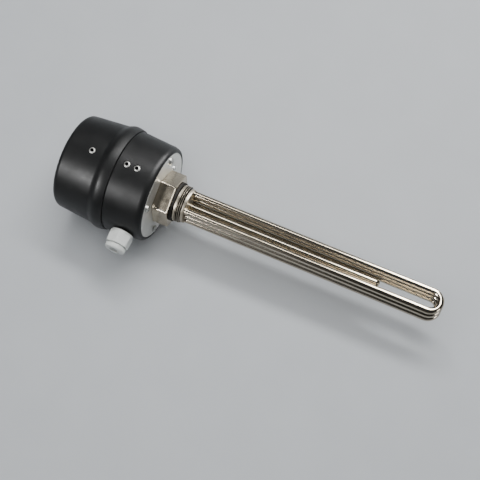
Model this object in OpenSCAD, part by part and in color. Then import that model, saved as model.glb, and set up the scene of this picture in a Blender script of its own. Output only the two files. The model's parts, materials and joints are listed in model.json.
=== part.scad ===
// Screw plug immersion heater, in millimetres.
// +X runs along the elements into the tank, the cable gland points to -Y, +Z is up.
// The origin is the centre of the gasket's sealing face.

/* [Screw plug] */
// Radius over the parallel pipe thread
thread_r = 23.9; // [23.7:0.1:24.4]
// Length of the thread beyond the sealing face
thread_len = 10.5; // [9:0.5:16]
// Length of the plain pilot beyond the thread
pilot_len = 4; // [2:0.5:8]
// Size of the plug's hexagon across its flats
plug_af = 60; // [58:0.5:66]
// Length of the hexagon along the axis
plug_hex_len = 21; // [18:0.5:26]
// Turn of the hexagon, from a flat on top toward the gland
plug_turn = 21; // [0:1:59]
// Thickness of the flat gasket at the thread root
gasket_t = 3; // [2:0.5:4]
// Radius of the spigot that passes through the plate
spigot_r = 23; // [22.5:0.1:24]

/* [Heating elements] */
// Diameter of the element tube
tube_d = 8.5; // [8:0.1:8.6]
// Distance between the two legs of a hairpin
leg_pitch = 26; // [24:0.5:26]
// Distance between the planes of neighbouring hairpins
plane_pitch = 11; // [10:0.2:11.2]
// Turn of the hairpins about the axis, away from the gland
bundle_turn = 7; // [0:1:20]
// Reach of the hairpins from the sealing face
element_reach = 349; // [300:1:500]
// Reach of the sensor pocket from the sealing face
pocket_reach = 269; // [200:1:280]
// Outside diameter of the sensor pocket
pocket_d = 10; // [9:0.1:10.4]

/* [Housing] */
// Radius of the round mounting plate
plate_r = 57; // [56:0.5:57.5]
// Thickness of the mounting plate
plate_t = 4; // [3:0.5:5]
// Radius of the circle of plate screws
plate_screw_r = 48.5; // [47:0.5:49.5]
// Radius of the cap where it meets the base
parting_r = 67.2; // [65.2:0.1:71]
// Length of the base, from the plate's face to the parting
base_len = 51; // [50:0.5:53]
// Length of the cap
cap_len = 72; // [70:0.5:78]
// Rise of the cap's flared rim from the parting to its crest
crest_rise = 1.5; // [1:0.1:2.2]
// Drop from the parting to the cap's neck behind the flare
neck_drop = 1.7; // [1.2:0.1:2.2]
// Taper of the cap from its neck to where its end begins to round
cap_taper = 3.7; // [3:0.1:4.2]
// Radius of the cap's rounded end
cap_round = 6.5; // [5:0.5:9]
// Step from the cap down to the base at the parting
parting_step = 1.5; // [1:0.1:1.9]
// Wall thickness of the mouldings
wall = 3.8; // [3.4:0.1:4]

/* [Cable gland] */
// Distance of the gland's axis behind the sealing face
gland_back = 47.5; // [47:0.5:50]
// Size of the gland body across its flats
gland_af = 27; // [26:0.5:28]
// Radius of the gland's clamping nut
gland_nut_r = 13.3; // [13:0.1:13.6]
// Radius of the cable's hole in the seal
cable_r = 5.5; // [4:0.1:6]

/* [Fits] */
// Clearance around parts that are pushed or screwed together
fit_gap = 0.3; // [0.25:0.05:0.4]
// Clearance around the legs brazed into the plug
braze_gap = 0.1; // [0.05:0.05:0.15]
// Running clearance of the spindle and the button
run_gap = 0.05; // [0.03:0.01:0.08]

/* [Output] */
// Piece to build

/* [Hidden] */
$fn = 96;
// Overlap that joins the solids of one piece
lap = 1;
black = [0.12, 0.13, 0.13];
rubber = [0.06, 0.06, 0.06];
steel = [0.66, 0.64, 0.60];
zinc = [0.72, 0.72, 0.69];
brass = [0.72, 0.58, 0.30];
light_grey = [0.79, 0.81, 0.79];
ceramic = [0.92, 0.90, 0.85];
copper = [0.72, 0.45, 0.30];

// Places along the axis
hex_front = -gasket_t;
plate_front = hex_front - plug_hex_len;
plate_back = plate_front - plate_t;
plate_seal_t = 1.5;
wall_front = plate_back - plate_seal_t;
wall_back = wall_front - 4;
parting_x = plate_front - base_len;
cap_end_x = parting_x - cap_len;
cap_inner_x = cap_end_x + wall;

// Screw plug
plug_corner_r = plug_af / sqrt(3);
thread_chamfer = 1.7;
pilot_r = thread_r - thread_chamfer - 0.2;
plug_end = thread_len + pilot_len;
ring_nut_t = 8;
ring_nut_r = spigot_r + 6;
spigot_end = plate_back - ring_nut_t - 2;
gasket_r = thread_r + 1.6;

// Elements and their terminals
tube_r = tube_d / 2;
leg_y = leg_pitch / 2;
bend_x = element_reach - leg_y - tube_r;
tube_end = spigot_end - 4;
seal_len = 6;
pin_r = 2;
pin_start = tube_end - seal_len;
pin_end = pin_start - 20;
nut_t = 3.2;
link_t = 1.5;
link_x = pin_start - nut_t - link_t;
element_z = [plane_pitch, 0, -plane_pitch];
pocket_r = pocket_d / 2;
pocket_bore_r = pocket_r - 1;
pocket_end = spigot_end - 6;

// Housing
rim_r = plate_r + 1.5;
base_front_r = rim_r + 4.7;
base_round_len = 9;
base_taper_x = plate_front - base_round_len;
edge = 0.8;
tongue_len = 7;
crest_r = parting_r + crest_rise;
neck_r = parting_r - neck_drop;
cap_end_r = neck_r - cap_taper;
base_end_r = parting_r - parting_step;
seal_bore_r = parting_r - 3.5;
tongue_r = seal_bore_r - 1.7;
tongue_in_r = tongue_r - 2.2;
base_inner_front = base_front_r - wall;
base_inner_end = base_end_r - wall;
base_inner_end_x = parting_x + 6;
crest_x = parting_x - 10.5;
neck_x = parting_x - 22;
seal_ring_len = 3;
plate_screw_turns = [45, 135, 225, 315];
m5_r = 2.5;
m5_hole_r = m5_r + 0.25;
m5_nut_t = 4;

// Bracket and side screws
strap_t = 2.5;
strap_w = 16;
strap_gap = 1.25;
bracket_back = parting_x - 43;
bracket_front = bracket_back + strap_t;
bracket_end = plate_front - 15;
strap_room_r = min(tongue_in_r, base_inner_r_at(bracket_end));
strap_z = sqrt(pow(strap_room_r - strap_gap, 2) - pow(strap_w / 2, 2));
bracket_disc_r = strap_z - 4.2;
base_screw_x = [parting_x + 12.2, parting_x + 25.6];
cap_screw_x = parting_x - 35.3;
wire_hole_r = 8;
wire_hole_turn = 116.6;
side_screw_r = 2;
side_head_r = 4;
side_head_h = 4;
side_head_dome = 1.3;
side_socket_r = 1.95;
side_sink = 3.6;
side_sink_r = side_head_r + 0.4;
pad_r = side_head_r + 2;

// Temperature control and limiter on the bracket
control_y = 20;
control_z = 8;
control_size = [28, 34, 40];
control_hold_z = 14;
control_screw_r = 2;
control_screw_in = 7;
bush_r = 5;
bush_len = 6.5;
control_front = bracket_front + control_size[0];
spindle_r = 3;
spindle_in = 14;
spindle_out = 18;
button_r = 2.5;
button_out = 9;
button_travel = 2;
bulb_r = 1.7;
bulb_y = 1.9;
bulb_len = 145;
bulb_back = pocket_reach - pocket_r - 9 - bulb_len;
capillary_r = 0.8;
capillary_y = 12;
capillary_bend = 6;
capillary_turn_x = pin_end - 3;

// Terminal block
block_size = [16, 60, 16];
block_gap = 2.2;
block_z = block_size[2] / 2 - sqrt(pow(cap_end_r - wall - block_gap, 2) - pow(block_size[1] / 2, 2));
block_screw_r = 1.5;
pole_bore_r = 2.4;
pole_pitch = 11;
block_hold_y = 1.5 * pole_pitch;

// Earth stud
earth_washer_r = 5;
earth_washer_t = 1.2;
earth_len = 21;
earth_r = ring_nut_r + earth_washer_r + 2.9;
earth_turn = 100;
earth_head_r = 3.8;
opening_r = earth_r + earth_washer_r + 0.7;

// Gland, measured outward from the heater's axis
gland_sink = 0.3;
gland_wall_t = 7.1;
gland_seat = base_r_at(-gland_back) - gland_sink;
gland_inner_seat = gland_seat - gland_wall_t;
gland_washer_t = 1;
gland_flange_r = gland_af / 2 + 0.8;
gland_flange_t = 2.2;
gland_boss_r = gland_flange_r + 1.7;
gland_boss_drop = 2.3;
gland_hex_len = 15;
gland_neck_r = gland_nut_r - 2.8;
gland_neck_len = 3.7;
gland_shank_r = gland_neck_r - 0.5;
gland_bore_r = gland_shank_r - 1.8;
gland_gap = 1.5;
gland_nut_len = 6;
gland_nut_wall = 2.4;
gland_nut_round = 2.6;
gland_mouth_r = cable_r + 1.1;
gland_seal_len = 15;
gland_locknut_af = 2 * gland_shank_r + 5;
gland_locknut_t = 5;
gland_shank_end = gland_inner_seat - gland_locknut_t - 4.9;
gland_foot = gland_seat + gland_washer_t;
gland_hex_start = gland_foot + gland_flange_t;
gland_hex_end = gland_hex_start + gland_hex_len;
gland_nut_start = gland_hex_end + gland_gap;
gland_nut_end = gland_nut_start + gland_nut_len;
gland_nut_floor = gland_nut_end - gland_nut_wall;

// Place helpers

module along_x(x) {
    translate([x, 0, 0]) rotate([0, 90, 0]) children();
}

module toward_gland(y) {
    translate([-gland_back, -y, 0]) rotate([90, 0, 0]) children();
}

// The hairpins and all that sits on their ends turn together
module in_bundle() {
    rotate([-bundle_turn, 0, 0]) children();
}

module at_legs() {
    in_bundle() for (z = element_z) for (side = [-1, 1]) translate([0, side * leg_y, z]) children();
}

module at_plate_screws() {
    for (turn = plate_screw_turns) rotate([turn, 0, 0]) translate([0, 0, plate_screw_r]) children();
}

module at_side_screws(places) {
    for (turn = [0, 180]) rotate([turn, 0, 0]) for (x = places) translate([x, 0, 0]) children();
}

// Hexagon bar of a given size across flats, standing on z = 0
module hex_bar(af, h) {
    cylinder(r = af / sqrt(3), h = h, $fn = 6);
}

// Pan head with a cross recess, its flat side on z = 0
module pan_head(r, h) {
    difference() {
        intersection() {
            cylinder(r = r, h = h);
            translate([0, 0, h - 2.1 * r]) sphere(r = 2.1 * r);
        }
        for (turn = [0, 90]) rotate([0, 0, turn]) translate([-0.55 * r, -0.11 * r, 0.45 * h])
            cube([1.1 * r, 0.22 * r, h]);
    }
}

// Domed head with a hexagon socket that ends in a drill point, its flat side on z = 0
module socket_head(r, h, dome, socket_r) {
    dome_r = (r * r + dome * dome) / (2 * dome);
    drill_r = 0.8 * socket_r;
    socket_floor = 0.4 * h;
    difference() {
        intersection() {
            cylinder(r = r, h = h);
            translate([0, 0, h - dome_r]) sphere(r = dome_r);
        }
        translate([0, 0, socket_floor]) cylinder(r = socket_r, h = h, $fn = 6);
        translate([0, 0, socket_floor - 0.45 * drill_r]) cylinder(r1 = 0, r2 = drill_r, h = drill_r / 2);
    }
}

// Screw plug

module screw_plug() {
    chamfer = 2.2;
    color(steel) difference() {
        union() {
            along_x(plate_front) intersection() {
                rotate([0, 0, plug_turn - 30]) hex_bar(plug_af, plug_hex_len);
                rotate_extrude() polygon([
                    [0, 0], [plug_af / 2 - 0.4, 0], [plug_corner_r + 0.2, chamfer],
                    [plug_corner_r + 0.2, plug_hex_len - chamfer], [plug_af / 2 - 0.4, plug_hex_len],
                    [0, plug_hex_len]
                ]);
            }
            along_x(hex_front - lap) cylinder(r = thread_r - thread_chamfer, h = gasket_t + 2 * lap);
            along_x(0) cylinder(r = thread_r, h = thread_len - thread_chamfer);
            along_x(thread_len - thread_chamfer)
                cylinder(r1 = thread_r, r2 = thread_r - thread_chamfer, h = thread_chamfer);
            along_x(thread_len - lap) cylinder(r = pilot_r, h = pilot_len - edge + lap);
            along_x(plug_end - edge) cylinder(r1 = pilot_r, r2 = pilot_r - edge / 2, h = edge);
            along_x(spigot_end) cylinder(r = spigot_r, h = plate_front - spigot_end + lap);
        }
        at_legs() along_x(spigot_end - 1)
            cylinder(r = tube_r + braze_gap, h = plug_end - spigot_end + 2);
        along_x(spigot_end - 1) cylinder(r = pocket_r + braze_gap, h = plug_end - spigot_end + 2);
    }
}

module plug_gasket() {
    color(rubber) along_x(hex_front) difference() {
        cylinder(r = gasket_r, h = gasket_t);
        translate([0, 0, -1]) cylinder(r = thread_r + fit_gap, h = gasket_t + 2);
    }
}

module plug_ring_nut() {
    notches = 6;
    color(steel) along_x(plate_back - ring_nut_t) difference() {
        cylinder(r = ring_nut_r, h = ring_nut_t);
        translate([0, 0, -1]) cylinder(r = spigot_r + fit_gap, h = ring_nut_t + 2);
        for (turn = [0 : 360 / notches : 359]) rotate([0, 0, turn])
            translate([ring_nut_r - 2, -2.5, -1]) cube([5, 5, ring_nut_t + 2]);
    }
}

// Heating elements

module hairpin(z) {
    color(steel) in_bundle() translate([0, 0, z]) {
        for (side = [-1, 1]) translate([0, side * leg_y, 0])
            along_x(tube_end) cylinder(r = tube_r, h = bend_x - tube_end);
        translate([bend_x, 0, 0]) rotate([0, 0, -90]) rotate_extrude(angle = 180)
            translate([leg_y, 0]) circle(r = tube_r);
    }
}

module heating_element_top() hairpin(element_z[0]);

module heating_element_middle() hairpin(element_z[1]);

module heating_element_bottom() hairpin(element_z[2]);

module element_end_seals() {
    color(ceramic) at_legs() along_x(pin_start) cylinder(r = tube_r - 0.4, h = seal_len);
}

module terminal_pins() {
    color(steel) at_legs() along_x(pin_end) cylinder(r = pin_r, h = pin_start - pin_end);
}

module terminal_nuts() {
    color(zinc) at_legs() for (x = [pin_start - nut_t, link_x - nut_t]) along_x(x) difference() {
        hex_bar(7, nut_t);
        translate([0, 0, -1]) cylinder(r = pin_r + braze_gap, h = nut_t + 2);
    }
}

// Washers under the three nuts that take the supply leads
module terminal_washers() {
    color(zinc) in_bundle() for (z = element_z) translate([0, -leg_y, z]) along_x(link_x) difference() {
        cylinder(r = 4.5, h = link_t);
        translate([0, 0, -1]) cylinder(r = pin_r + braze_gap, h = link_t + 2);
    }
}

// Flat link that joins the other three pins
module star_bridge() {
    color(brass) in_bundle() difference() {
        translate([link_x, leg_y - 4, -plane_pitch - 5]) cube([link_t, 8, 2 * plane_pitch + 10]);
        for (z = element_z) translate([0, leg_y, z])
            along_x(link_x - 1) cylinder(r = pin_r + braze_gap, h = link_t + 2);
    }
}

module sensor_pocket() {
    color(steel) difference() {
        union() {
            along_x(pocket_end) cylinder(r = pocket_r, h = pocket_reach - pocket_r - pocket_end);
            translate([pocket_reach - pocket_r, 0, 0]) sphere(r = pocket_r);
        }
        along_x(pocket_end - 1)
            cylinder(r = pocket_bore_r, h = pocket_reach - pocket_r - pocket_end + 1);
    }
}

// Mounting plate

module mounting_plate() {
    color(zinc) difference() {
        along_x(plate_back) rotate_extrude() polygon([
            [0, 0], [plate_r, 0], [plate_r, plate_t - edge], [plate_r - edge, plate_t], [0, plate_t]
        ]);
        along_x(plate_back - 1) cylinder(r = spigot_r + fit_gap, h = plate_t + 2);
        at_plate_screws() along_x(plate_back - 1) cylinder(r = m5_hole_r, h = plate_t + 2);
        at_earth() along_x(plate_back - 1) cylinder(r = m5_r + braze_gap, h = plate_t + 2);
    }
}

module plate_seal() {
    color(rubber) difference() {
        along_x(wall_front) cylinder(r = plate_r - 1, h = plate_seal_t);
        along_x(wall_front - 1) cylinder(r = opening_r, h = plate_seal_t + 2);
        at_plate_screws() along_x(wall_front - 1) cylinder(r = m5_hole_r, h = plate_seal_t + 2);
    }
}

module plate_screws() {
    shank = plate_front - wall_back + m5_nut_t + 2;
    color(zinc) at_plate_screws() {
        along_x(plate_front) pan_head(4.6, 3.2);
        along_x(plate_front - shank) cylinder(r = m5_r, h = shank);
    }
}

module plate_nuts() {
    color(zinc) at_plate_screws() along_x(wall_back - m5_nut_t) difference() {
        hex_bar(8, m5_nut_t);
        translate([0, 0, -1]) cylinder(r = m5_r + braze_gap, h = m5_nut_t + 2);
    }
}

// Housing

// Radius of the base's outside between its rounded front and the parting
function base_r_at(x) =
    base_front_r + (base_end_r - base_front_r) * (base_taper_x - x) / (base_taper_x - parting_x);

// Radius of the base's inside over the same stretch
function base_inner_r_at(x) =
    base_inner_front
    + (base_inner_end - base_inner_front) * (wall_back - x) / (wall_back - base_inner_end_x);

// Radius of the cap's outside between its neck and its rounded end
function cap_r_at(x) = neck_r + (cap_end_r - neck_r) * (neck_x - x) / (neck_x - cap_end_x - cap_round);

base_round = [
    for (t = [90 : -10 : 0])
        [rim_r + (base_front_r - rim_r) * cos(t), base_taper_x + base_round_len * sin(t)]
];

// Flare of the cap: up from the rim to the crest, then an S-curve down to the neck
cap_flare = concat(
    [[parting_r - edge, parting_x], [parting_r, parting_x - edge]],
    [for (t = [15 : 15 : 90]) [parting_r + (crest_r - parting_r) * sin(t), parting_x - edge
        + (crest_x - parting_x + edge) * t / 90]],
    [for (t = [15 : 15 : 180]) [(crest_r + neck_r) / 2 + (crest_r - neck_r) / 2 * cos(t),
        crest_x + (neck_x - crest_x) * t / 180]]
);

cap_corner = [
    for (t = [0 : 10 : 90])
        [cap_end_r - cap_round + cap_round * cos(t), cap_end_x + cap_round - cap_round * sin(t)]
];

module side_screw_cuts(x, outer_r) {
    translate([x, 0, strap_z - 1]) cylinder(r = side_screw_r + fit_gap, h = 20);
    translate([x, 0, outer_r - side_sink]) cylinder(r = side_sink_r, h = 10);
}

module housing_base() {
    color(black) difference() {
        union() {
            along_x(0) rotate_extrude() polygon(concat(
                base_round,
                [[base_end_r, parting_x + edge], [base_end_r - edge, parting_x], [tongue_r, parting_x],
                [tongue_r, parting_x - tongue_len], [tongue_in_r, parting_x - tongue_len],
                [tongue_in_r, parting_x], [base_inner_end, base_inner_end_x],
                [base_inner_front, wall_back], [opening_r, wall_back], [opening_r, wall_front],
                [plate_r + fit_gap, wall_front], [plate_r + fit_gap, plate_front]]
            ));
            for (x = base_screw_x) at_side_screws([x]) translate([0, 0, strap_z])
                cylinder(r = pad_r, h = base_r_at(x) - wall / 2 - strap_z);
            toward_gland(gland_inner_seat) cylinder(r = gland_boss_r, h = gland_wall_t - gland_boss_drop);
        }
        at_plate_screws() along_x(wall_back - 1) cylinder(r = m5_hole_r, h = wall_front - wall_back + 2);
        for (x = base_screw_x) at_side_screws([0]) side_screw_cuts(x, base_r_at(x));
        toward_gland(gland_seat) cylinder(r = gland_flange_r + 1, h = 20);
        toward_gland(gland_inner_seat - 5) cylinder(r = gland_shank_r + fit_gap, h = 30);
    }
}

module housing_cap() {
    color(black) difference() {
        union() {
            along_x(0) rotate_extrude() polygon(concat(
                cap_flare, cap_corner,
                [[0, cap_end_x], [0, cap_inner_x],
                [cap_end_r - cap_round, cap_inner_x], [cap_end_r - wall - 1.5, cap_inner_x + 2],
                [cap_end_r - wall, cap_inner_x + cap_round - 2], [neck_r - wall, neck_x],
                [seal_bore_r, neck_x + 8], [seal_bore_r, parting_x]]
            ));
            at_side_screws([cap_screw_x]) translate([0, 0, strap_z])
                cylinder(r = pad_r, h = cap_r_at(cap_screw_x) - wall / 2 - strap_z);
        }
        at_side_screws([0]) side_screw_cuts(cap_screw_x, cap_r_at(cap_screw_x));
    }
}

module parting_seal() {
    color(rubber) along_x(parting_x - seal_ring_len) difference() {
        cylinder(r = seal_bore_r - fit_gap, h = seal_ring_len);
        translate([0, 0, -1]) cylinder(r = tongue_r + fit_gap, h = seal_ring_len + 2);
    }
}

module side_screw(x, outer_r) {
    shank = outer_r - side_sink - strap_z + strap_t + 2;
    translate([x, 0, outer_r - side_sink]) {
        socket_head(side_head_r, side_head_h, side_head_dome, side_socket_r);
        translate([0, 0, -shank]) cylinder(r = side_screw_r, h = shank);
    }
}

module base_side_screws() {
    color(zinc) at_side_screws([0]) for (x = base_screw_x) side_screw(x, base_r_at(x));
}

module cap_side_screws() {
    color(zinc) at_side_screws([0]) side_screw(cap_screw_x, cap_r_at(cap_screw_x));
}

// Folded bracket: a disc with two legs that the side screws hold
module cap_bracket() {
    color(zinc) difference() {
        union() {
            along_x(bracket_back) cylinder(r = bracket_disc_r, h = strap_t);
            translate([bracket_back, -strap_w / 2, -strap_z]) cube([strap_t, strap_w, 2 * strap_z]);
            for (z = [-strap_z, strap_z - strap_t]) translate([bracket_back, -strap_w / 2, z])
                cube([bracket_end - bracket_back, strap_w, strap_t]);
        }
        at_side_screws(concat(base_screw_x, [cap_screw_x])) translate([0, 0, strap_z - strap_t - 1])
            cylinder(r = side_screw_r + braze_gap, h = strap_t + 2);
        for (side = [-1, 1]) translate([0, side * control_y, control_z]) {
            along_x(bracket_back - 1) cylinder(r = bush_r + fit_gap, h = strap_t + 2);
            for (up = [-1, 1]) translate([0, 0, up * control_hold_z])
                along_x(bracket_back - 1) cylinder(r = control_screw_r + fit_gap, h = strap_t + 2);
        }
        for (side = [-1, 1]) translate([0, side * block_hold_y, block_z])
            along_x(bracket_back - 1) cylinder(r = block_screw_r + fit_gap, h = strap_t + 2);
        for (side = [-1, 1]) rotate([side * wire_hole_turn, 0, 0])
            translate([0, 0, bracket_disc_r - wire_hole_r - strap_t / 2])
                along_x(bracket_back - 1) cylinder(r = wire_hole_r, h = strap_t + 2);
    }
}

// Temperature control and limiter

// Case with a threaded bush through the bracket, bored for its spindle or button
module control_case(side, bore_r) {
    color(light_grey) translate([0, side * control_y, control_z]) difference() {
        union() {
            translate([bracket_front, -control_size[1] / 2, -control_size[2] / 2]) cube(control_size);
            along_x(bracket_back - bush_len + strap_t)
                cylinder(r = bush_r, h = bush_len);
        }
        along_x(bracket_back - bush_len)
            cylinder(r = bore_r + run_gap, h = bush_len + strap_t + spindle_in + 2);
        for (up = [-1, 1]) translate([0, 0, up * control_hold_z])
            along_x(bracket_front - 1) cylinder(r = control_screw_r + braze_gap, h = control_screw_in + 2);
    }
}

module temperature_control() control_case(-1, spindle_r);

module limiter() control_case(1, button_r);

module control_spindle() {
    tip = bracket_back - spindle_out;
    color(steel) translate([0, -control_y, control_z]) difference() {
        along_x(tip) cylinder(r = spindle_r, h = bracket_front + spindle_in - tip);
        translate([tip - 1, -0.6, -5]) cube([3, 1.2, 10]);
    }
}

module reset_button() {
    tip = bracket_back - button_out;
    color([0.65, 0.12, 0.10]) translate([0, control_y, control_z])
        along_x(tip) cylinder(r = button_r, h = bracket_front + spindle_in - button_travel - tip);
}

module bulb(side) {
    color(copper) translate([0, side * bulb_y, 0]) along_x(bulb_back) cylinder(r = bulb_r, h = bulb_len);
}

module control_bulb() bulb(-1);

module limiter_bulb() bulb(1);

// Route of a capillary: straight out of the pocket, then an S-bend outward to its case
capillary_rise = capillary_bend * (1 - cos(45));
capillary_end_x = capillary_turn_x - 2 * capillary_bend * sin(45)
    - (capillary_y - bulb_y - 2 * capillary_rise);
capillary_route = concat(
    [[bulb_back, bulb_y]],
    [for (t = [0 : 15 : 45])
        [capillary_turn_x - capillary_bend * sin(t), bulb_y + capillary_bend * (1 - cos(t))]],
    [for (t = [45 : -15 : 0])
        [capillary_end_x + capillary_bend * sin(t), capillary_y - capillary_bend * (1 - cos(t))]],
    [[control_front, capillary_y]]
);

function unit(v) = v / norm(v);
function heading(route, i) = unit(route[min(i + 1, len(route) - 1)] - route[max(i - 1, 0)]);

// Round tube of radius r swept along a route in the XY plane
module swept_tube(route, r, sides = 8) {
    rings = len(route);
    points = [
        for (i = [0 : rings - 1]) for (k = [0 : sides - 1])
            let (h = heading(route, i), c = r * cos(360 * k / sides), d = r * sin(360 * k / sides))
            [route[i][0] - h[1] * c, route[i][1] + h[0] * c, d]
    ];
    faces = concat(
        [[for (k = [0 : sides - 1]) k]],
        [for (i = [0 : rings - 2]) for (k = [0 : sides - 1])
            [i * sides + k, (i + 1) * sides + k, i * sides + (k + 1) % sides]],
        [for (i = [0 : rings - 2]) for (k = [0 : sides - 1])
            [(i + 1) * sides + k, (i + 1) * sides + (k + 1) % sides, i * sides + (k + 1) % sides]],
        [[for (k = [sides - 1 : -1 : 0]) (rings - 1) * sides + k]]
    );
    polyhedron(points, faces);
}

module capillary(side) {
    color(copper) mirror([0, side < 0 ? 1 : 0, 0]) swept_tube(capillary_route, capillary_r);
}

module control_capillary() capillary(-1);

module limiter_capillary() capillary(1);

module control_screws() {
    color(zinc) for (side = [-1, 1]) for (up = [-1, 1])
        translate([0, side * control_y, control_z + up * control_hold_z]) {
            along_x(bracket_back) rotate([180, 0, 0]) pan_head(1.8 * control_screw_r, 1.2 * control_screw_r);
            along_x(bracket_back) cylinder(r = control_screw_r, h = strap_t + control_screw_in);
        }
}

// Terminal block

module terminal_block() {
    color(light_grey) translate([bracket_back - block_size[0], 0, block_z]) difference() {
        translate([0, -block_size[1] / 2, -block_size[2] / 2]) cube(block_size);
        for (pole = [-2 : 2]) translate([0, pole * pole_pitch, 0]) {
            along_x(-1) cylinder(r = pole_bore_r, h = 9);
            translate([6, 0, -block_size[2] / 2 - 1]) cylinder(r = 2.6, h = 12);
        }
        for (side = [-1, 1]) translate([0, side * block_hold_y, 0])
            along_x(-1) cylinder(r = block_screw_r + fit_gap, h = block_size[0] + 2);
    }
}

module terminal_block_screws() {
    block_face = bracket_back - block_size[0];
    color(zinc) for (side = [-1, 1]) translate([block_face, side * block_hold_y, block_z]) {
        rotate([0, -90, 0]) pan_head(1.9 * block_screw_r, 1.3 * block_screw_r);
        along_x(0) cylinder(r = block_screw_r, h = block_size[0] + strap_t + 1);
    }
}

module terminal_clamp_screws() {
    color(brass) for (pole = [-2 : 2])
        translate([bracket_back - block_size[0] + 1.5, pole * pole_pitch, block_z]) difference() {
            along_x(0) cylinder(r = pole_bore_r - braze_gap, h = 6);
            translate([-1, -3, -0.4]) cube([2, 6, 0.8]);
        }
}

// Earth stud through the plate, its head in front

module at_earth() {
    rotate([earth_turn, 0, 0]) translate([0, 0, -earth_r]) children();
}

module earth_stud() {
    color(zinc) at_earth() {
        along_x(plate_front) pan_head(earth_head_r, earth_head_r / 2);
        along_x(plate_back - earth_len) cylinder(r = m5_r, h = earth_len + plate_t);
    }
}

module earth_washer() {
    color(zinc) at_earth() along_x(plate_back - earth_washer_t) difference() {
        cylinder(r = earth_washer_r, h = earth_washer_t);
        translate([0, 0, -1]) cylinder(r = m5_r + braze_gap, h = earth_washer_t + 2);
    }
}

module earth_nut() {
    color(zinc) at_earth() along_x(plate_back - earth_washer_t - m5_nut_t) difference() {
        hex_bar(8, m5_nut_t);
        translate([0, 0, -1]) cylinder(r = m5_r + braze_gap, h = m5_nut_t + 2);
    }
}

// Cable gland

module gland_body() {
    color(light_grey) difference() {
        union() {
            toward_gland(gland_shank_end)
                cylinder(r = gland_shank_r, h = gland_foot + lap - gland_shank_end);
            toward_gland(gland_foot) cylinder(r = gland_flange_r, h = gland_flange_t);
            toward_gland(gland_hex_start) intersection() {
                rotate([0, 0, 30]) hex_bar(gland_af, gland_hex_len);
                cylinder(r1 = gland_af / sqrt(3) + 0.2, r2 = gland_af / 2 + 1, h = gland_hex_len);
            }
            toward_gland(gland_foot + lap)
                cylinder(r = gland_neck_r, h = gland_hex_end + gland_neck_len - gland_foot - lap);
        }
        toward_gland(gland_shank_end - 1) cylinder(r = gland_bore_r, h = 60);
    }
}

module gland_nut() {
    color(light_grey) toward_gland(gland_nut_start) difference() {
        rotate_extrude() polygon(concat(
            [[0, 0], [gland_nut_r - 0.5, 0], [gland_nut_r, 0.5]],
            [for (t = [0 : 15 : 90])
                [gland_nut_r - gland_nut_round + gland_nut_round * cos(t),
                gland_nut_len - gland_nut_round + gland_nut_round * sin(t)]],
            [[0, gland_nut_len]]
        ));
        translate([0, 0, -1]) cylinder(r = gland_neck_r + fit_gap, h = gland_nut_len - gland_nut_wall + 1);
        cylinder(r = gland_mouth_r, h = gland_nut_len + 1);
    }
}

module gland_seal() {
    color(rubber) toward_gland(gland_nut_floor - fit_gap - gland_seal_len) difference() {
        cylinder(r = gland_bore_r - fit_gap, h = gland_seal_len);
        translate([0, 0, -1]) cylinder(r = cable_r, h = gland_seal_len + 2);
    }
}

module gland_washer() {
    color(rubber) toward_gland(gland_seat) difference() {
        cylinder(r = gland_flange_r - 0.5, h = gland_washer_t);
        translate([0, 0, -1]) cylinder(r = gland_shank_r + fit_gap, h = gland_washer_t + 2);
    }
}

module gland_locknut() {
    color(light_grey) toward_gland(gland_inner_seat - gland_locknut_t) difference() {
        rotate([0, 0, 30]) hex_bar(gland_locknut_af, gland_locknut_t);
        translate([0, 0, -1]) cylinder(r = gland_shank_r + fit_gap, h = gland_locknut_t + 2);
    }
}

screw_plug();
plug_gasket();
plug_ring_nut();
heating_element_top();
heating_element_middle();
heating_element_bottom();
element_end_seals();
terminal_pins();
terminal_nuts();
terminal_washers();
star_bridge();
sensor_pocket();
mounting_plate();
plate_seal();
plate_screws();
plate_nuts();
housing_base();
housing_cap();
parting_seal();
cap_bracket();
base_side_screws();
cap_side_screws();
temperature_control();
control_spindle();
control_bulb();
control_capillary();
limiter();
reset_button();
limiter_bulb();
limiter_capillary();
control_screws();
terminal_block();
terminal_block_screws();
terminal_clamp_screws();
earth_stud();
earth_washer();
earth_nut();
gland_body();
gland_nut();
gland_seal();
gland_washer();
gland_locknut();
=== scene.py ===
"""Looks of the screw plug immersion heater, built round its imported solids, in metres."""

import json

import bmesh
import bpy
import numpy as np
from mathutils import Matrix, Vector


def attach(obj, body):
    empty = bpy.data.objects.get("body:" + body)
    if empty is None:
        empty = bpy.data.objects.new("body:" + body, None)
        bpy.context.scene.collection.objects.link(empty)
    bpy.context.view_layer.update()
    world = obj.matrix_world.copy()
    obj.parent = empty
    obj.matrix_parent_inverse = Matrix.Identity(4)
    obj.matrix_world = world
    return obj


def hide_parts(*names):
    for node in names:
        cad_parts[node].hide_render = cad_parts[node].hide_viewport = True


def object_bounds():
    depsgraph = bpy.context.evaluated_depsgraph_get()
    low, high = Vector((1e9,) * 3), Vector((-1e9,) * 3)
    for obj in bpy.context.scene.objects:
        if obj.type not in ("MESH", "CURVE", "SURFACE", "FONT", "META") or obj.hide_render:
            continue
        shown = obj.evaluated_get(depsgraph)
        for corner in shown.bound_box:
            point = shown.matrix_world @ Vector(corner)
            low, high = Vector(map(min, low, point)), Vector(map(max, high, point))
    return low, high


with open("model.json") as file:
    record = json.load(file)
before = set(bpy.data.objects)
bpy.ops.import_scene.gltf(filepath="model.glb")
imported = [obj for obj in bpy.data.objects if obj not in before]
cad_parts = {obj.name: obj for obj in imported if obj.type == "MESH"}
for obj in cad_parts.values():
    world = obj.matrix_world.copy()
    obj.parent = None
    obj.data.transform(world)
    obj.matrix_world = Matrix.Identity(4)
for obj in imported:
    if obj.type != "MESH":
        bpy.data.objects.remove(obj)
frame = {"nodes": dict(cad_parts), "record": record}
solid_box = [list(corner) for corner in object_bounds()]
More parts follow.
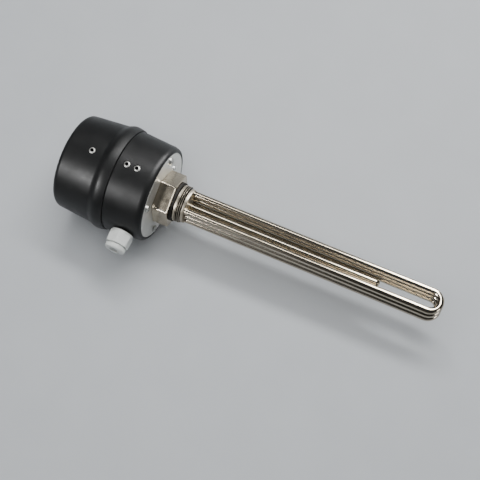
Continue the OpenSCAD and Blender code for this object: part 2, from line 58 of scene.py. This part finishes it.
solids = frame["nodes"]

MM = 0.001
TURN = 2 * np.pi

# Screw plug, in millimetres from the gasket's sealing face
THREAD_R, THREAD_LEN, THREAD_CHAMFER = 23.9, 10.5, 1.7
THREAD_PITCH, THREAD_DEPTH = 2.309, 1.479
THREAD_LAND, THREAD_RUN_IN = 3.6, 0.8  # where the plain land ends, and how far the groove takes to deepen
THREAD_START = 0.63  # share of a turn by which the helix is set round
CREST_GAIN, CREST_CUT, CREST_ROUND = 1.3, 0.15, 0.6  # flats and rounding of the thread's triangle wave
UNDERCUT_END, UNDERCUT_RISE = 0.9, 0.4
THREAD_SUNK = 0.5  # depth of the thread's piece inside the hexagon
PILOT_R, PILOT_LEN, PILOT_EDGE = 22.0, 4.0, 0.8
PILOT_STEP_SHADOW = 0.6  # length of the pilot next to the thread that takes the thread's painted shade, as the step's shadow
RING_GAP = 0.05  # between two rings of different radius that make a step
HEX_AF, HEX_FRONT, HEX_LEN, HEX_TURN = 60.0, -3.0, 21.0, 21.0
HEX_BACK = HEX_FRONT - HEX_LEN
HEX_BEVEL, CORNER_WEAR, HEX_FACE_R = 0.9, 0.35, 22.0
SPIGOT_R, SPIGOT_END, SPIGOT_EDGE = 23.0, -38.0, 0.8

# Points along and round each surface, the angle from which an edge is sharp, and the reach of a weld
HEX_ROWS, HEX_COLS = 15, 360
THREAD_ROWS, THREAD_COLS = 112, 240
CREASE_DEG, THREAD_CREASE_DEG = 32.0, 50.0
WELD_M = 1e-7

# Side screws: their places along X and the radius of the painted shade in their sockets
SIDE_SCREW_X, SIDE_SOCKET_SHADE_R = (-62.8, -49.4, -110.3), 2.25

# Plate screws: their distance from the axis along Y and Z, and the reach and top of the painted shade in
# their cross recess
PLATE_SCREW_AT, RECESS_SHADE_R, RECESS_SHADE_TOP = 34.29, 2.7, 2.55


# Surfaces

def sheet_of(name, points, material, crease):
    """Mesh through a grid of points (rows along, columns around): each cell is a quad, the last
    column joins the first, and rows that shrink to one point become the poles."""
    rows, cols = points.shape[:2]
    corner = np.arange(rows * cols).reshape(rows, cols)
    after = np.roll(corner, -1, axis=1)
    quads = np.stack([corner[:-1], after[:-1], after[1:], corner[1:]], axis=-1).reshape(-1, 4)
    mesh = bpy.data.meshes.new(name)
    mesh.vertices.add(rows * cols)
    mesh.vertices.foreach_set("co", points.astype(np.float32).ravel())
    mesh.loops.add(quads.size)
    mesh.loops.foreach_set("vertex_index", quads.astype(np.int32).ravel())
    mesh.polygons.add(len(quads))
    mesh.polygons.foreach_set("loop_start", np.arange(0, quads.size, 4, dtype=np.int32))
    mesh.update(calc_edges=True)
    shell = bmesh.new()
    shell.from_mesh(mesh)
    bmesh.ops.remove_doubles(shell, verts=shell.verts, dist=WELD_M)
    bmesh.ops.recalc_face_normals(shell, faces=shell.faces)
    shell.to_mesh(mesh)
    shell.free()
    mesh.polygons.foreach_set("use_smooth", np.ones(len(mesh.polygons), dtype=bool))
    mesh.set_sharp_from_angle(angle=np.radians(crease))
    mesh.materials.append(material)
    piece = bpy.data.objects.new(name, mesh)
    bpy.context.scene.collection.objects.link(piece)
    return piece


def round_x(x, r, angle):
    """Points at distance r from the X axis: x, r times the cosine and r times the sine of the angle."""
    x, r, angle = np.broadcast_arrays(x, r, angle)
    return np.stack([x, r * np.cos(angle), r * np.sin(angle)], axis=-1) * MM


def turned_piece(name, angle, lead, x, r, tail, material, crease):
    """Surface round the X axis: plain rings of the lead, then rows at x with radius r, then rings of the
    tail. Lead and tail are pairs of x and radius; the first and the last of all lie on the axis."""
    lead, tail = np.array(lead), np.array(tail)
    rings = [np.repeat(end[:, 1:], angle.size, axis=1) for end in (lead, tail)]
    rows_x = np.concatenate([lead[:, 0], x, tail[:, 0]])
    rows_r = np.concatenate([rings[0], r, rings[1]])
    return sheet_of(name, round_x(rows_x[:, None], rows_r, angle[None, :]), material, crease)


def hexagon_body(material):
    """Hexagon bar and spigot: the radius is the smaller of the flat's distance over the cosine of the angle
    from its middle and a worn corner circle, and both draw in by the bevel along the two ends."""
    angle = np.arange(HEX_COLS) / HEX_COLS * TURN
    flat, sixth = np.radians(90 + HEX_TURN), TURN / 6
    off = (angle - flat + sixth / 2) % sixth - sixth / 2
    along = np.concatenate([[0.0], np.linspace(HEX_BEVEL, HEX_LEN - HEX_BEVEL, HEX_ROWS), [HEX_LEN]])
    bevel = np.clip(HEX_BEVEL - np.minimum(along, HEX_LEN - along), 0, None)[:, None]
    r = np.minimum((HEX_AF / 2 - bevel) / np.cos(off), HEX_AF / np.sqrt(3) - CORNER_WEAR - bevel)
    lead = [
        [SPIGOT_END, 0.0],
        [SPIGOT_END, SPIGOT_R - SPIGOT_EDGE],
        [SPIGOT_END + SPIGOT_EDGE, SPIGOT_R],
        [HEX_BACK, SPIGOT_R],
    ]
    tail = [[HEX_FRONT, HEX_FACE_R], [HEX_FRONT, 0.0]]
    return turned_piece("plug_hexagon", angle, lead, HEX_BACK + along, r, tail, material, CREASE_DEG)


def pipe_thread(material):
    """Right-hand pipe thread: behind an undercut and a plain land, the radius falls and rises along x as a
    rounded triangle wave whose phase is x over the pitch less the angle over a full turn and a fixed start,
    and the end chamfer cuts it. Beyond it the plain pilot ends in a flat face."""
    angle = np.arange(THREAD_COLS) / THREAD_COLS * TURN
    x = np.linspace(0.0, THREAD_LEN, THREAD_ROWS)
    phase = (x[:, None] / THREAD_PITCH - angle[None, :] / TURN - THREAD_START) % 1.0
    wave = np.clip(np.abs(2 * phase - 1) * CREST_GAIN - CREST_CUT, 0, 1)
    wave = wave * wave * (3 - 2 * wave) * CREST_ROUND + wave * (1 - CREST_ROUND)
    deepening = np.clip((x - THREAD_LAND) / THREAD_RUN_IN, 0, 1)[:, None]
    helix = THREAD_R - THREAD_DEPTH * (1 - wave) * deepening
    chamfer = THREAD_R - np.clip(x - (THREAD_LEN - THREAD_CHAMFER), 0, None)[:, None]
    neck = THREAD_R - THREAD_CHAMFER
    undercut = neck + THREAD_CHAMFER * np.clip((x - UNDERCUT_END) / UNDERCUT_RISE, 0, 1)[:, None]
    r = np.minimum(np.minimum(helix, chamfer), undercut)
    sunk, end = HEX_FRONT - THREAD_SUNK, THREAD_LEN + PILOT_LEN
    lead = [[sunk, 0.0], [sunk, neck], [-RING_GAP, neck]]
    tail = [
        [THREAD_LEN + RING_GAP, PILOT_R],
        [end - PILOT_EDGE, PILOT_R],
        [end, PILOT_R - PILOT_EDGE / 2],
        [end, 0.0],
    ]
    return turned_piece("plug_thread", angle, lead, x, r, tail, material, THREAD_CREASE_DEG)


# Finishes

class Finish:
    """A node material with one Principled shader and short helpers to feed its sockets."""

    NOISE_LOW, NOISE_HIGH = 0.3, 0.7

    def __init__(self, name, colour, roughness, metallic=0.0):
        self.material = bpy.data.materials.new(name)
        self.material.use_nodes = True
        self.nodes = self.material.node_tree.nodes
        self.links = self.material.node_tree.links
        self.shader = self.nodes["Principled BSDF"]
        self.shader.inputs["Base Color"].default_value = (*colour, 1)
        self.shader.inputs["Roughness"].default_value = roughness
        self.shader.inputs["Metallic"].default_value = metallic
        self.place = self.nodes.new("ShaderNodeTexCoord").outputs["Object"]
        self.bump = None

    def stretched(self, scale, turn=(0, 0, 0)):
        """Object coordinates scaled along each axis, so that a pattern runs along a piece."""
        mapping = self.nodes.new("ShaderNodeMapping")
        mapping.inputs["Scale"].default_value = scale
        mapping.inputs["Rotation"].default_value = turn
        self.links.new(self.place, mapping.inputs["Vector"])
        return mapping.outputs["Vector"]

    def axes(self):
        """The piece's own X, Y and Z coordinates."""
        split = self.nodes.new("ShaderNodeSeparateXYZ")
        self.links.new(self.place, split.inputs["Vector"])
        return split.outputs["X"], split.outputs["Y"], split.outputs["Z"]

    def noise(self, scale, detail=3.0, rough=0.5, vector=None):
        """Cloudy pattern over the piece; scale counts its clouds in a metre."""
        cloud = self.nodes.new("ShaderNodeTexNoise")
        cloud.inputs["Scale"].default_value = scale
        cloud.inputs["Detail"].default_value = detail
        cloud.inputs["Roughness"].default_value = rough
        self.links.new(vector or self.place, cloud.inputs["Vector"])
        return cloud.outputs["Fac"]

    def calc(self, operation, *terms):
        """One arithmetic step; each term is another node's output or a plain number."""
        step = self.nodes.new("ShaderNodeMath")
        step.operation = operation
        for socket, term in zip(step.inputs, terms):
            if isinstance(term, (int, float)):
                socket.default_value = term
            else:
                self.links.new(term, socket)
        return step.outputs["Value"]

    def distance(self, a, b):
        """The length of the step whose two parts are a and b."""
        return self.calc("SQRT", self.calc("ADD", self.calc("POWER", a, 2.0), self.calc("POWER", b, 2.0)))

    def colour_by(self, fac, *stops):
        """Base colour from a pattern, by stops that each pair a place from 0 to 1 with a colour."""
        ramp = self.nodes.new("ShaderNodeValToRGB")
        band = ramp.color_ramp
        while len(band.elements) < len(stops):
            band.elements.new(0.5)
        for element, (at, colour) in zip(band.elements, stops):
            element.position = at
            element.color = (*colour, 1)
        self.links.new(fac, ramp.inputs["Fac"])
        self.links.new(ramp.outputs["Color"], self.shader.inputs["Base Color"])

    def roughness_by(self, fac, low, high):
        """Roughness from low to high, over the middle range that a noise pattern mostly fills."""
        spread = self.nodes.new("ShaderNodeMapRange")
        spread.inputs["From Min"].default_value = self.NOISE_LOW
        spread.inputs["From Max"].default_value = self.NOISE_HIGH
        spread.inputs["To Min"].default_value = low
        spread.inputs["To Max"].default_value = high
        self.links.new(fac, spread.inputs["Value"])
        self.links.new(spread.outputs["Result"], self.shader.inputs["Roughness"])

    def relief(self, fac, depth, strength):
        """Bumps from a pattern, depth in metres, on top of any relief that is already there."""
        bump = self.nodes.new("ShaderNodeBump")
        bump.inputs["Distance"].default_value = depth
        bump.inputs["Strength"].default_value = strength
        self.links.new(fac, bump.inputs["Height"])
        if self.bump:
            self.links.new(self.bump, bump.inputs["Normal"])
        self.bump = bump.outputs["Normal"]
        self.links.new(self.bump, self.shader.inputs["Normal"])


def moulded_black():
    """Satin black moulding: fine spark-eroded grain, slow waviness and faint handling marks."""
    f = Finish("moulded_black", (0.008, 0.0084, 0.0086), 0.4)
    f.colour_by(f.noise(38, 4, 0.6), (0.3, (0.0055, 0.0058, 0.006)), (0.7, (0.0105, 0.011, 0.0113)))
    f.roughness_by(f.noise(60, 5, 0.65), 0.36, 0.48)
    f.relief(f.noise(1900, 2, 0.6), 0.00004, 0.35)
    f.relief(f.noise(26, 1, 0.4), 0.0006, 0.12)
    f.shader.inputs["Specular IOR Level"].default_value = 0.235
    return f.material


def drawn_tube():
    """Bright drawn steel tube: long soft streaks along the tube in tone and gloss."""
    f = Finish("drawn_tube", (0.40, 0.355, 0.285), 0.15, 1.0)
    streak = f.noise(1.0, 2, 0.5, f.stretched((4, 200, 200)))
    f.colour_by(streak, (0.3, (0.335, 0.293, 0.225)), (0.7, (0.47, 0.423, 0.345)))
    f.roughness_by(streak, 0.13, 0.18)
    return f.material


def turned_nickel():
    """Nickel-toned plug: fine turning and milling lines round the axis with a slow change of tone."""
    f = Finish("turned_nickel", (0.44, 0.40, 0.335), 0.33, 1.0)
    lines = f.noise(1.0, 3, 0.6, f.stretched((2600, 60, 60)))
    f.colour_by(f.noise(55, 4, 0.6), (0.3, (0.37, 0.323, 0.25)), (0.7, (0.53, 0.475, 0.38)))
    f.roughness_by(f.noise(120, 4, 0.6), 0.17, 0.28)
    f.relief(lines, 0.00003, 0.35)
    return f.material


def cut_thread_painted_shade():
    """Cut thread: bright crests with painted shade in the flanks and roots, told apart by the helix's
    phase, which is the place along the axis over the pitch less the angle round it over a full turn and a
    fixed start.
    The land and the pilot are bright, though the painted groove shade reaches a little onto the pilot, and
    the undercut behind the land is painted dark as shade."""
    crest, flank_shade, root_shade = (0.38, 0.342, 0.276), (0.12, 0.10, 0.08), (0.006, 0.005, 0.004)
    f = Finish("cut_thread_painted_shade", crest, 0.42, 1.0)
    x, y, z = f.axes()
    turns = f.calc("DIVIDE", f.calc("ARCTAN2", z, y), TURN)
    pitches = f.calc("DIVIDE", x, THREAD_PITCH * MM)
    wave = f.calc("PINGPONG", f.calc("SUBTRACT", f.calc("SUBTRACT", pitches, turns), THREAD_START), 0.5)
    past_land = f.calc("GREATER_THAN", x, THREAD_LAND * MM)
    before_pilot = f.calc("LESS_THAN", x, (THREAD_LEN + PILOT_STEP_SHADOW) * MM)
    groove = f.calc("MULTIPLY", wave, f.calc("MULTIPLY", past_land, before_pilot))
    undercut = f.calc("LESS_THAN", x, (UNDERCUT_END + UNDERCUT_RISE / 2) * MM)
    # Painted shade: the flank and root colours darken the grooves, the pilot's first part and the undercut
    f.colour_by(f.calc("MAXIMUM", groove, undercut), (0.09, crest), (0.15, flank_shade), (0.20, root_shade))
    f.roughness_by(f.noise(300, 4, 0.6), 0.37, 0.48)
    return f.material


def plain_sheet():
    """Mill-finished sheet: straight rolling grain across the plate and small clouded patches."""
    f = Finish("plain_sheet", (0.70, 0.70, 0.67), 0.42, 1.0)
    grain = f.noise(1.0, 4, 0.65, f.stretched((400, 30, 1500), (0.6, 0, 0)))
    f.colour_by(f.noise(45, 5, 0.6), (0.3, (0.60, 0.60, 0.57)), (0.7, (0.76, 0.76, 0.735)))
    f.roughness_by(grain, 0.34, 0.50)
    f.relief(grain, 0.00002, 0.3)
    return f.material


def zinc_gloss(f, low=0.22, high=0.4):
    """Small clouded spots in the gloss of plated metal, over a very fine relief."""
    f.roughness_by(f.noise(700, 3, 0.6), low, high)
    f.relief(f.noise(2600, 2, 0.5), 0.00002, 0.25)


def plated_zinc():
    """Zinc-plated fasteners: bright, with small clouded spots in tone and gloss."""
    f = Finish("plated_zinc", (0.70, 0.70, 0.68), 0.3, 1.0)
    f.colour_by(f.noise(420, 4, 0.6), (0.3, (0.58, 0.585, 0.58)), (0.7, (0.78, 0.78, 0.755)))
    zinc_gloss(f)
    return f.material


def socket_zinc_painted_shade():
    """Zinc-plated side screws: near a screw's axis, which runs along Z at one of three places on X, the
    metal is painted near black as shade inside the socket."""
    f = Finish("socket_zinc_painted_shade", (0.44, 0.44, 0.42), 0.55, 1.0)
    x, y, _ = f.axes()
    along = [f.calc("ABSOLUTE", f.calc("SUBTRACT", x, at * MM)) for at in SIDE_SCREW_X]
    nearest = f.calc("MINIMUM", f.calc("MINIMUM", along[0], along[1]), along[2])
    shade_share = f.calc("DIVIDE", f.distance(nearest, y), 2 * SIDE_SOCKET_SHADE_R * MM)
    # Painted shade: the metal goes near black within the socket's radius of each screw's axis
    f.colour_by(shade_share, (0.50, (0.010, 0.010, 0.010)), (0.56, (0.44, 0.44, 0.42)))
    zinc_gloss(f, 0.48, 0.62)
    return f.material


def recess_zinc_painted_shade():
    """Zinc-plated plate screws: inside the cross recess, which is near a screw's axis and below the head's
    crown, the metal is painted near black as shade. The axes run along X, one in each quarter of the plate."""
    f = Finish("recess_zinc_painted_shade", (0.52, 0.52, 0.50), 0.3, 1.0)
    x, y, z = f.axes()
    off_y = f.calc("SUBTRACT", f.calc("ABSOLUTE", y), PLATE_SCREW_AT * MM)
    off_z = f.calc("SUBTRACT", f.calc("ABSOLUTE", z), PLATE_SCREW_AT * MM)
    round_axis = f.calc("DIVIDE", f.distance(off_y, off_z), 2 * RECESS_SHADE_R * MM)
    above_plate = f.calc("DIVIDE", f.calc("SUBTRACT", x, HEX_BACK * MM), 2 * RECESS_SHADE_TOP * MM)
    shade_share = f.calc("MAXIMUM", round_axis, above_plate)
    # Painted shade: the metal goes near black inside the cross recess, below the head's crown
    f.colour_by(shade_share, (0.48, (0.012, 0.012, 0.012)), (0.52, (0.52, 0.52, 0.50)))
    zinc_gloss(f)
    return f.material


def seal_rubber():
    """Dull black rubber with a dusty, slightly pitted skin."""
    f = Finish("seal_rubber", (0.013, 0.011, 0.009), 0.72)
    f.colour_by(f.noise(300, 4, 0.65), (0.35, (0.008, 0.0068, 0.0055)), (0.75, (0.024, 0.020, 0.016)))
    f.shader.inputs["Specular IOR Level"].default_value = 0.3
    f.roughness_by(f.noise(500, 3, 0.5), 0.6, 0.85)
    f.relief(f.noise(2400, 3, 0.6), 0.00006, 0.4)
    return f.material


def grey_polyamide():
    """Light grey moulded polyamide of the gland: soft sheen, faint flow clouds and a fine matt grain."""
    f = Finish("grey_polyamide", (0.77, 0.795, 0.765), 0.18)
    f.colour_by(f.noise(90, 4, 0.55), (0.3, (0.73, 0.755, 0.725)), (0.7, (0.81, 0.835, 0.805)))
    f.roughness_by(f.noise(200, 4, 0.6), 0.13, 0.23)
    f.relief(f.noise(2200, 2, 0.6), 0.00004, 0.3)
    return f.material


def cream_case():
    """Cream moulded cases of the inner controls and the terminal block."""
    f = Finish("cream_case", (0.66, 0.63, 0.54), 0.5)
    f.colour_by(f.noise(80, 4, 0.6), (0.3, (0.61, 0.58, 0.49)), (0.7, (0.70, 0.67, 0.585)))
    f.roughness_by(f.noise(160, 4, 0.6), 0.42, 0.6)
    f.relief(f.noise(1800, 2, 0.6), 0.00004, 0.3)
    return f.material


def white_ceramic():
    """White ceramic of the element ends, slightly speckled."""
    f = Finish("white_ceramic", (0.80, 0.78, 0.72), 0.6)
    f.colour_by(f.noise(900, 4, 0.6), (0.3, (0.72, 0.70, 0.63)), (0.7, (0.86, 0.84, 0.79)))
    f.relief(f.noise(2600, 2, 0.6), 0.00005, 0.4)
    return f.material


def plain_brass():
    """Plain brass of the star bridge and the clamp screws, with slow tarnish."""
    f = Finish("plain_brass", (0.70, 0.52, 0.24), 0.3, 1.0)
    f.colour_by(f.noise(260, 5, 0.65), (0.3, (0.52, 0.36, 0.15)), (0.7, (0.78, 0.60, 0.30)))
    f.roughness_by(f.noise(420, 4, 0.6), 0.22, 0.42)
    return f.material


def dull_copper():
    """Copper of the bulbs and capillaries, with dark drawing streaks."""
    f = Finish("dull_copper", (0.62, 0.34, 0.20), 0.35, 1.0)
    streak = f.noise(1.0, 4, 0.6, f.stretched((30, 900, 900)))
    f.colour_by(streak, (0.3, (0.42, 0.21, 0.12)), (0.7, (0.70, 0.41, 0.26)))
    f.roughness_by(f.noise(300, 4, 0.6), 0.25, 0.45)
    return f.material


def red_button():
    """Red moulded reset button with a faint cloud in its colour."""
    f = Finish("red_button", (0.45, 0.035, 0.03), 0.38)
    f.colour_by(f.noise(500, 3, 0.6), (0.3, (0.38, 0.028, 0.024)), (0.7, (0.52, 0.045, 0.036)))
    f.relief(f.noise(2400, 2, 0.6), 0.00003, 0.3)
    return f.material


def pale_floor():
    """Plain pale floor with a trace of paper grain."""
    f = Finish("pale_floor", (0.53, 0.555, 0.58), 0.8)
    f.colour_by(f.noise(14, 3, 0.5), (0.3, (0.52, 0.545, 0.57)), (0.7, (0.54, 0.565, 0.59)))
    f.relief(f.noise(900, 2, 0.5), 0.00004, 0.2)
    return f.material


finish_of_slot = {
    "housing_black": moulded_black(),
    "element_steel": drawn_tube(),
    "plug_metal": turned_nickel(),
    "plate_metal": plain_sheet(),
    "fastener_zinc": plated_zinc(),
    "seal_rubber": seal_rubber(),
    "gland_grey": grey_polyamide(),
    "control_plastic": cream_case(),
    "end_ceramic": white_ceramic(),
    "terminal_brass": plain_brass(),
    "capillary_copper": dull_copper(),
    "button_red": red_button(),
}
finish_of_node = dict.fromkeys(("base_side_screws", "cap_side_screws"), socket_zinc_painted_shade())
finish_of_node["plate_screws"] = recess_zinc_painted_shade()
for part in frame["record"]["subparts"]:
    mesh = solids[part["node"]].data
    mesh.materials.clear()
    mesh.materials.append(finish_of_node.get(part["node"], finish_of_slot[part["material_slot"]]))

for piece in (hexagon_body(finish_of_slot["plug_metal"]), pipe_thread(cut_thread_painted_shade())):
    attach(piece, "heater")
    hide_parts("screw_plug")


# Floor, light and camera

FLOOR_HALF, FLOOR_GAP = 6.0, 0.0004
CENTRE = (0.05, 0.0, 0.0)
SENSOR_MM, FOCAL_PX, PICTURE_PX = 36.0, 1070.48, 480


def placed(across, up, back, place):
    """Matrix of an object at a place, with its three axes as columns."""
    return Matrix([[across[i], up[i], back[i], place[i]] for i in range(3)] + [[0, 0, 0, 1]])


def area_light(name, place, target, size, power):
    """Rectangular light at a place, turned toward its target."""
    lamp = bpy.data.lights.new(name, "AREA")
    lamp.shape = "RECTANGLE"
    lamp.size, lamp.size_y = size
    lamp.energy = power
    holder = bpy.data.objects.new(name, lamp)
    bpy.context.scene.collection.objects.link(holder)
    back = np.array(place, float) - np.array(target, float)
    back /= np.linalg.norm(back)
    across = np.cross((0.0, 0.0, 1.0), back)
    across /= np.linalg.norm(across)
    holder.matrix_world = placed(across, np.cross(back, across), back, place)
    return holder


ground = solid_box[0][2] - FLOOR_GAP
floor_corners = [(FLOOR_HALF * x, FLOOR_HALF * y, ground) for x, y in ((-1, -1), (1, -1), (1, 1), (-1, 1))]
floor_mesh = bpy.data.meshes.new("floor")
floor_mesh.from_pydata(floor_corners, [], [(0, 1, 2, 3)])
floor_mesh.materials.append(pale_floor())
floor = bpy.data.objects.new("floor", floor_mesh)
bpy.context.scene.collection.objects.link(floor)

world = bpy.data.worlds.new("studio")
world.use_nodes = True
sky = world.node_tree.nodes["Background"].inputs
sky["Color"].default_value = (0.86, 0.90, 0.96, 1)
sky["Strength"].default_value = 0.07
bpy.context.scene.world = world

# The fill lights the floor and the matt surfaces; the key, the rim and the end card only make highlights
key = area_light("key", (-0.70, -1.10, 1.10), CENTRE, (0.58, 0.42), 36)
key.visible_diffuse = False
area_light("overhead", (0.10, 0.78, 1.45), CENTRE, (1.3, 0.22), 16)
rim = area_light("rim", (0.36, 1.05, 0.72), (-0.05, 0.0, 0.0), (0.34, 1.15), 42)
rim.visible_diffuse = False
fill = area_light("fill", (0.0, 0.0, 2.4), CENTRE, (2.6, 2.6), 60)
fill.visible_glossy = False
end_card = area_light("end_card", (1.10, -0.15, 0.19), (0.0, 0.0, 0.03), (0.3, 0.16), 1.6)
end_card.visible_diffuse = False

# The view: where the camera stands and its right, down and forward directions
stand = np.array([0.32668, -0.38132, 1.24807])
right = np.array([0.90997931, 0.41144314, -0.0514995])
down = np.array([0.37420552, -0.86835872, -0.32545868])
ahead = np.array([-0.17862779, 0.27688927, -0.94415277])
lens = bpy.data.cameras.new("view")
lens.sensor_width = SENSOR_MM
lens.lens = SENSOR_MM * FOCAL_PX / PICTURE_PX
lens.clip_start, lens.clip_end = 0.01, 50
camera = bpy.data.objects.new("view", lens)
bpy.context.scene.collection.objects.link(camera)
camera.matrix_world = placed(right, -down, -ahead, stand)
bpy.context.scene.camera = camera
